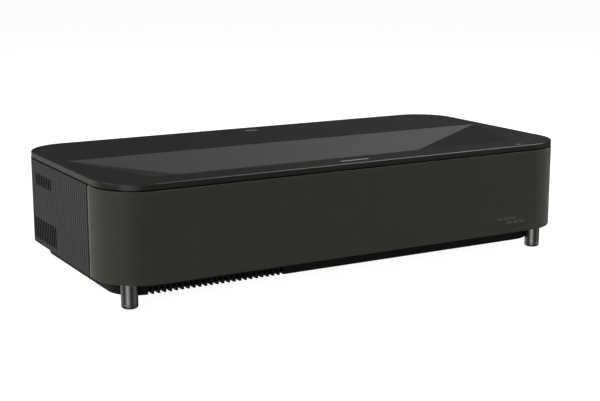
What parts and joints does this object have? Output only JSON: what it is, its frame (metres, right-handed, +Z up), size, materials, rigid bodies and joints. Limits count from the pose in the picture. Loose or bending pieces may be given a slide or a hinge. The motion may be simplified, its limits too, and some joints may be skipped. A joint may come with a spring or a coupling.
{
  "type": "home projector",
  "caption": "Wide low ultra-short-throw projector with a fabric front, gloss lid, sunken light funnel behind a sliding lens shutter, vented fluted sides and screw feet.",
  "frame": {"origin": "on the floor, under the centre of the body", "axes": "+X to the right for a viewer who faces the fabric front, -Y out of the front, +Z up"},
  "size_m": [0.695, 0.3413, 0.1566],
  "materials": {
    "gloss_black": "gloss",
    "satin_grey": "satin",
    "side_grey": "fine matte",
    "dark_plastic": "matte",
    "grille_cloth": "woven",
    "rubber_foot": "matte",
    "foot_metal": "satin",
    "screw_steel": "zinc",
    "die_cast": "cast",
    "fin_aluminium": "bare",
    "copper_radiator": "bare",
    "optical_glass": "polished",
    "mirror_coat": "polished",
    "green_board": "solder mask",
    "white_plastic": "matte",
    "badge_metal": "satin",
    "filter_foam": "pleated",
    "cone_paper": "matte",
    "phosphor": "coated"
  },
  "bodies": {
    "projector": {"top_cover": "gloss_black", "beam_recess": "satin_grey", "top_inlay": "badge_metal", "indicator_windows": "dark_plastic", "shutter_motor": "screw_steel", "shutter_frame": "dark_plastic", "dust_glass": "optical_glass", "grille_fabric": "grille_cloth", "grille_frame": "dark_plastic", "grille_badge": "badge_metal", "receiver_board": "green_board", "left_side_panel": "side_grey", "right_side_panel": "side_grey", "air_filter": "filter_foam", "button_board": "green_board", "rear_panel": "side_grey", "connector_bay": "dark_plastic", "base_plate": "dark_plastic", "undertray": "dark_plastic", "rear_feet": "rubber_foot", "case_screws": "screw_steel", "projection_mirror": "mirror_coat", "mirror_holder": "die_cast", "lens_barrel": "die_cast", "projection_lenses": "optical_glass", "engine_housing": "die_cast", "engine_lid": "die_cast", "prism_cube": "optical_glass", "lcd_panels": "optical_glass", "dichroic_mirrors": "mirror_coat", "source_housing": "die_cast", "laser_bank": "die_cast", "wheel_motor": "screw_steel", "laser_heat_sink": "fin_aluminium", "heat_pipe_radiator": "copper_radiator", "exhaust_fan_frame": "dark_plastic", "intake_fan_frame": "dark_plastic", "speaker_boxes": "dark_plastic", "woofers": "cone_paper", "tweeters": "cone_paper", "main_board": "green_board", "board_screws": "screw_steel", "processor_heat_sink": "fin_aluminium", "power_board": "green_board", "hdmi_sockets": "screw_steel", "usb_sockets": "screw_steel", "audio_jack": "dark_plastic", "ac_inlet": "dark_plastic"},
    "shutter": {"lens_shutter": "dark_plastic", "shutter_rack": "white_plastic"},
    "pinion": {"shutter_pinion": "white_plastic"},
    "filter_door": {"filter_door": "side_grey"},
    "power_button": {"power_button": "side_grey"},
    "foot_left": {"front_foot_left": "foot_metal"},
    "foot_right": {"front_foot_right": "foot_metal"},
    "focus_rod": {"focus_rod": "dark_plastic"},
    "focus_ring": {"focus_ring": "dark_plastic"},
    "exhaust_rotor": {"exhaust_fan_rotor": "dark_plastic"},
    "intake_rotor": {"intake_fan_rotor": "dark_plastic"},
    "wheel": {"phosphor_wheel": "phosphor"}
  },
  "joints": [
    {"name": "shutter_slide", "type": "slide", "parent": "projector", "child": "shutter", "axis": [0, 1, 0], "range_m": [0, 0.104]},
    {"name": "shutter_pinion_turn", "type": "hinge", "parent": "projector", "child": "pinion", "pos_m": [0.1679, -0.0234, 0.11], "axis": [0, 0, 1], "range_deg": [0, 745]},
    {"name": "filter_door_hinge", "type": "hinge", "parent": "projector", "child": "filter_door", "pos_m": [0.34575, 0.0922, 0.0915], "axis": [0, 0, 1], "range_deg": [0, 95]},
    {"name": "power_button_press", "type": "slide", "parent": "projector", "child": "power_button", "axis": [-1, 0, 0], "range_m": [0, 0.0012], "stiffness_N_per_m": 400, "springref_m": -0.001},
    {"name": "front_foot_left_height", "type": "slide", "parent": "projector", "child": "foot_left", "axis": [0, 0, -1], "range_m": [0, 0.007]},
    {"name": "front_foot_right_height", "type": "slide", "parent": "projector", "child": "foot_right", "axis": [0, 0, -1], "range_m": [0, 0.007]},
    {"name": "focus_rod_slide", "type": "slide", "parent": "projector", "child": "focus_rod", "axis": [1, 0, 0], "range_m": [-0.006, 0.006]},
    {"name": "focus_ring_turn", "type": "hinge", "parent": "projector", "child": "focus_ring", "pos_m": [0, -0.004, 0.072], "axis": [0, 1, 0], "range_deg": [-9.1, 9.1]},
    {"name": "exhaust_fan_spin", "type": "hinge", "parent": "projector", "child": "exhaust_rotor", "pos_m": [-0.3275, 0.068, 0.0825], "axis": [1, 0, 0], "continuous": true},
    {"name": "intake_fan_spin", "type": "hinge", "parent": "projector", "child": "intake_rotor", "pos_m": [0.3115, 0.052, 0.0765], "axis": [1, 0, 0], "continuous": true},
    {"name": "phosphor_wheel_spin", "type": "hinge", "parent": "projector", "child": "wheel", "pos_m": [-0.102, 0.066, 0.072], "axis": [1, 0, 0], "continuous": true}
  ],
  "couplings": [
    {"joint": "shutter_pinion_turn", "follows": "shutter_slide", "rad_per_m": 125},
    {"joint": "focus_ring_turn", "follows": "focus_rod_slide", "rad_per_m": 26.316}
  ]
}
